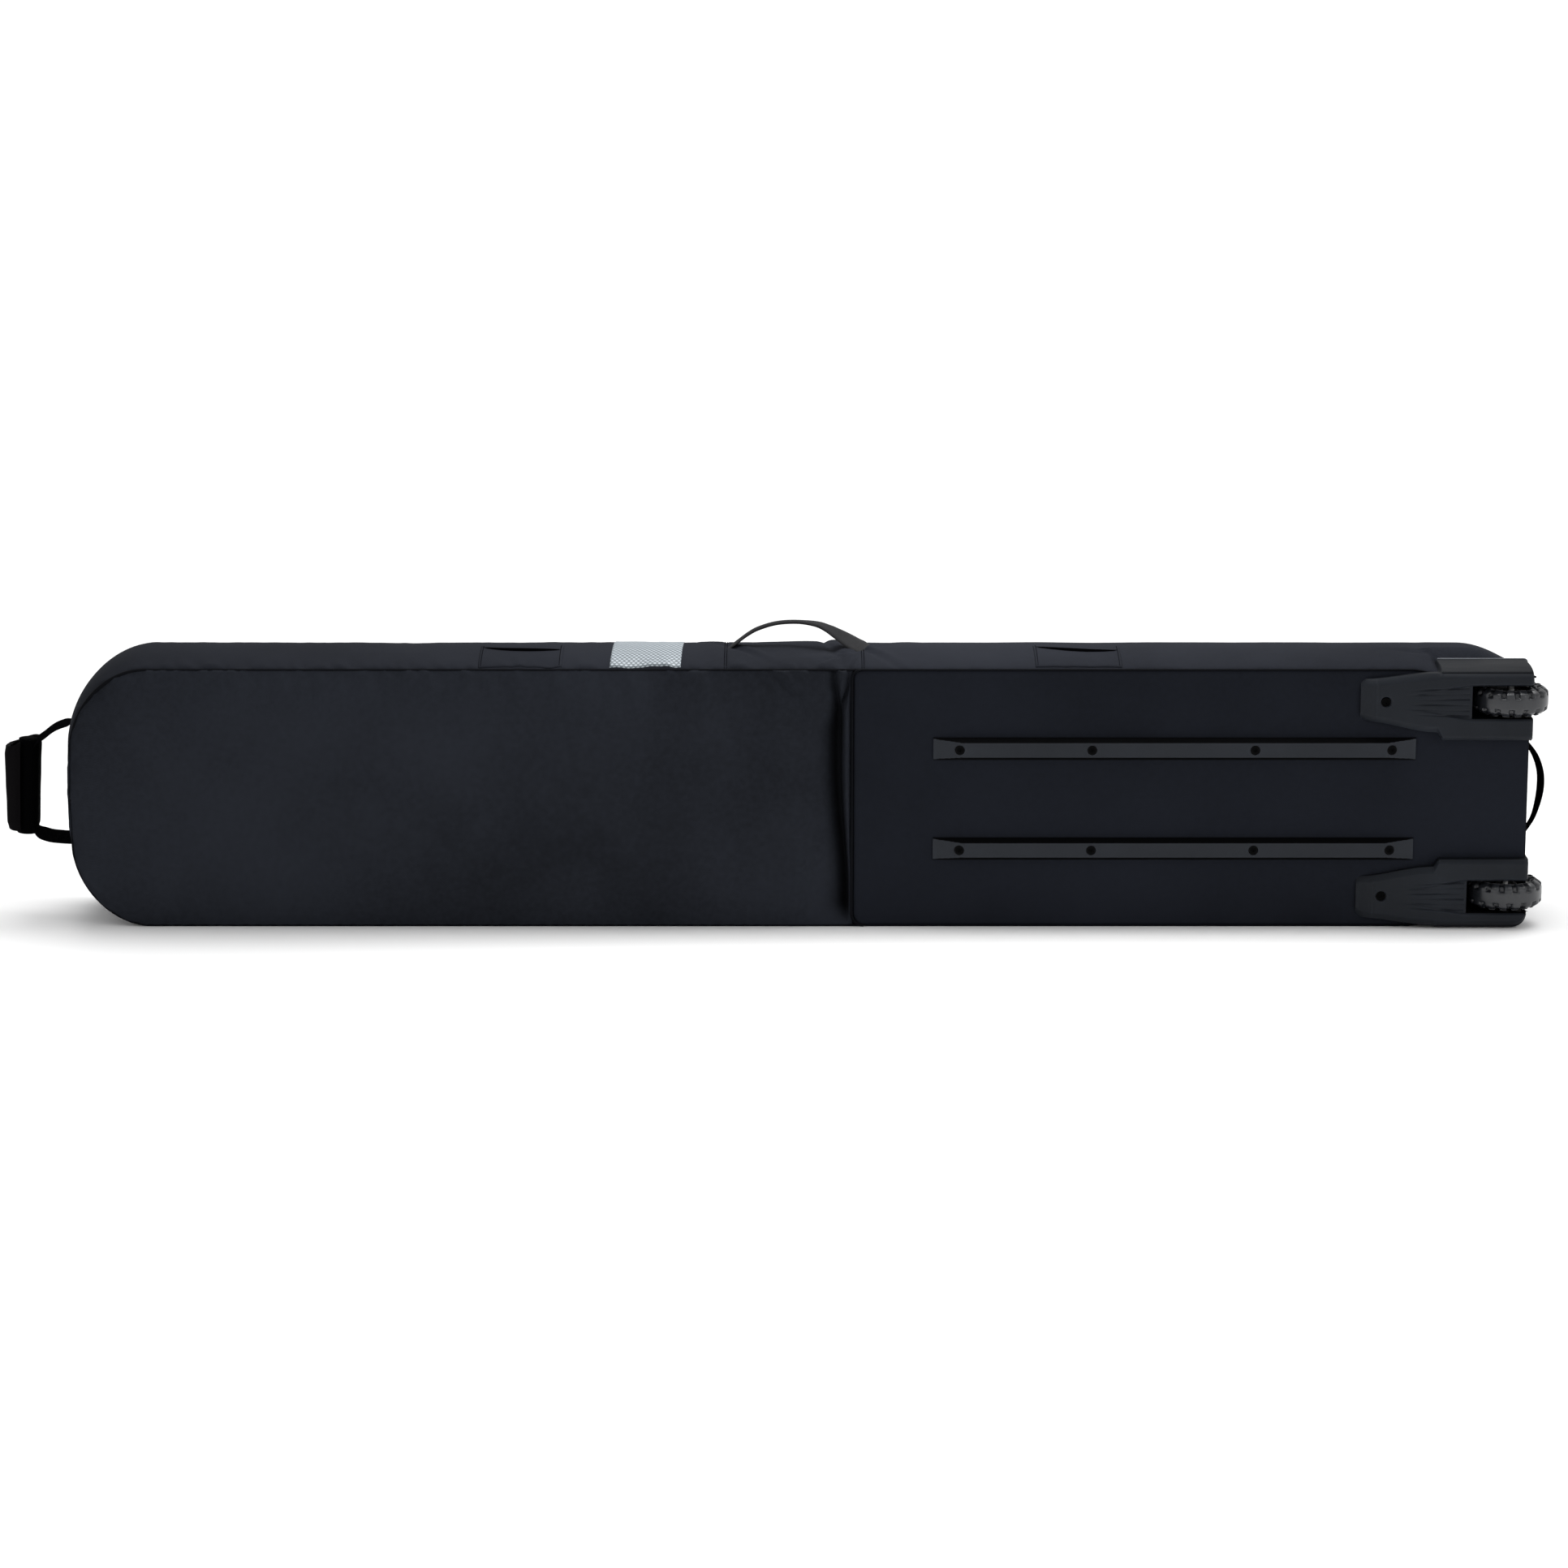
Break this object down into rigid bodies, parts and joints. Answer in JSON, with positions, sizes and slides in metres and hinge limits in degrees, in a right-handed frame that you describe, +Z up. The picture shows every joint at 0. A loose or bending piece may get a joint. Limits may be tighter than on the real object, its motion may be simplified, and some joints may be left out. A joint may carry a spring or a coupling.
{
  "type": "wheeled snowboard bag",
  "caption": "Long padded snowboard bag with a stiff wheeled tail half, skid rails, corner wheel housings, webbing handles and a zipped lid, standing on its side.",
  "frame": {"origin": "middle of the underside of the lower gusset, which the bag stands on; X = 0 is midway between the nose and tail seams", "axes": "+X from the soft nose to the wheeled tail, -Y the side with skid rails and wheels, +Y the lid side, +Z up"},
  "size_m": [1.7819, 0.1798, 0.3435],
  "materials": {
    "base_fabric": "coated ballistic nylon, fine weave",
    "soft_fabric": "padded polyester, fine weave, slight sheen",
    "gusset_fabric": "padded polyester, lighter than the panels under the light",
    "reflective_print": "pale grey honeycomb reflective film on fabric",
    "piping": "tape bound cord",
    "board_sheet": "polyethylene sheet",
    "webbing": "ribbed polypropylene webbing",
    "grip_foam": "neoprene-faced foam",
    "housing_plastic": "moulded, fine texture",
    "rail_plastic": "moulded, fine texture",
    "tyre_urethane": "semi-gloss urethane with lugs",
    "hub_plastic": "moulded nylon",
    "black_steel": "black oxide",
    "bright_steel": "ground steel",
    "zip_tape": "woven tape with moulded coil"
  },
  "bodies": {
    "bag": {"base_panel": "base_fabric", "tail_panel": "base_fabric", "soft_panel": "soft_fabric", "upper_gusset": "gusset_fabric", "lower_gusset": "gusset_fabric", "nose_gusset": "gusset_fabric", "back_rim": "gusset_fabric", "strap_sleeve_nose": "gusset_fabric", "strap_sleeve_tail": "gusset_fabric", "carry_handle_anchor_nose": "gusset_fabric", "carry_handle_anchor_tail": "gusset_fabric", "reflective_patch": "reflective_print", "base_piping": "piping", "base_board": "board_sheet", "nose_handle_tab_upper": "webbing", "nose_handle_tab_lower": "webbing", "tail_handle_tab_upper": "webbing", "tail_handle_tab_lower": "webbing", "tie_down_strap_nose": "webbing", "tie_down_strap_tail": "webbing", "wheel_housing_upper": "housing_plastic", "wheel_housing_lower": "housing_plastic", "rail_upper": "rail_plastic", "rail_lower": "rail_plastic", "tie_down_buckle_nose": "hub_plastic", "tie_down_buckle_tail": "hub_plastic", "rail_screw_upper_1": "black_steel", "rail_screw_upper_2": "black_steel", "rail_screw_upper_3": "black_steel", "rail_screw_upper_4": "black_steel", "rail_screw_lower_1": "black_steel", "rail_screw_lower_2": "black_steel", "rail_screw_lower_3": "black_steel", "rail_screw_lower_4": "black_steel", "housing_screw_upper": "black_steel", "housing_screw_lower": "black_steel", "axle_upper": "bright_steel", "axle_lower": "bright_steel", "rail_backing_strip_upper": "bright_steel", "rail_backing_strip_lower": "bright_steel", "zip_tape_body": "zip_tape"},
    "lid": {"lid_panel": "soft_fabric", "zip_tape_lid": "zip_tape"},
    "slider_nose": {"zip_slider_nose": "black_steel"},
    "slider_tail": {"zip_slider_tail": "black_steel"},
    "pull_nose": {"zip_pull_nose": "black_steel"},
    "pull_tail": {"zip_pull_tail": "black_steel"},
    "carry_handle": {"carry_handle": "webbing"},
    "nose_handle": {"nose_handle_webbing": "webbing", "nose_handle_grip": "grip_foam"},
    "tail_handle": {"tail_handle": "webbing"},
    "wheel_upper": {"tyre_upper": "tyre_urethane", "wheel_hub_upper": "hub_plastic", "bearing_upper_outer": "bright_steel", "bearing_upper_inner": "bright_steel"},
    "wheel_lower": {"tyre_lower": "tyre_urethane", "wheel_hub_lower": "hub_plastic", "bearing_lower_outer": "bright_steel", "bearing_lower_inner": "bright_steel"}
  },
  "joints": [
    {"name": "lid_hinge", "type": "hinge", "parent": "bag", "child": "lid", "pos_m": [0, 0.075, 0.2934], "axis": [1, 0, 0], "range_deg": [0, 150]},
    {"name": "zip_slide_nose", "type": "slide", "parent": "lid", "child": "slider_nose", "axis": [1, 0, 0], "range_m": [-0.7, 0]},
    {"name": "zip_slide_tail", "type": "slide", "parent": "lid", "child": "slider_tail", "axis": [1, 0, 0], "range_m": [0, 0.76]},
    {"name": "zip_pull_turn_nose", "type": "hinge", "parent": "slider_nose", "child": "pull_nose", "pos_m": [-0.012, 0.0799, 0.0303], "axis": [0, 0, 1], "range_deg": [-150, 0]},
    {"name": "zip_pull_turn_tail", "type": "hinge", "parent": "slider_tail", "child": "pull_tail", "pos_m": [0.012, 0.0799, 0.0303], "axis": [0, 0, 1], "range_deg": [0, 150]},
    {"name": "carry_handle_swing", "type": "hinge", "parent": "bag", "child": "carry_handle", "pos_m": [0, 0, 0.319], "axis": [1, 0, 0], "range_deg": [-80, 80]},
    {"name": "nose_handle_swing", "type": "hinge", "parent": "bag", "child": "nose_handle", "pos_m": [-0.857, 0, 0.1535], "axis": [0, 0, 1], "range_deg": [-70, 70]},
    {"name": "tail_handle_swing", "type": "hinge", "parent": "bag", "child": "tail_handle", "pos_m": [0.841, 0, 0.1475], "axis": [0, 0, 1], "range_deg": [-25, 25]},
    {"name": "wheel_spin_upper", "type": "hinge", "parent": "bag", "child": "wheel_upper", "pos_m": [0.815, -0.054, 0.264], "axis": [0, 0, 1], "continuous": true},
    {"name": "wheel_spin_lower", "type": "hinge", "parent": "bag", "child": "wheel_lower", "pos_m": [0.815, -0.054, 0.038], "axis": [0, 0, 1], "continuous": true}
  ]
}
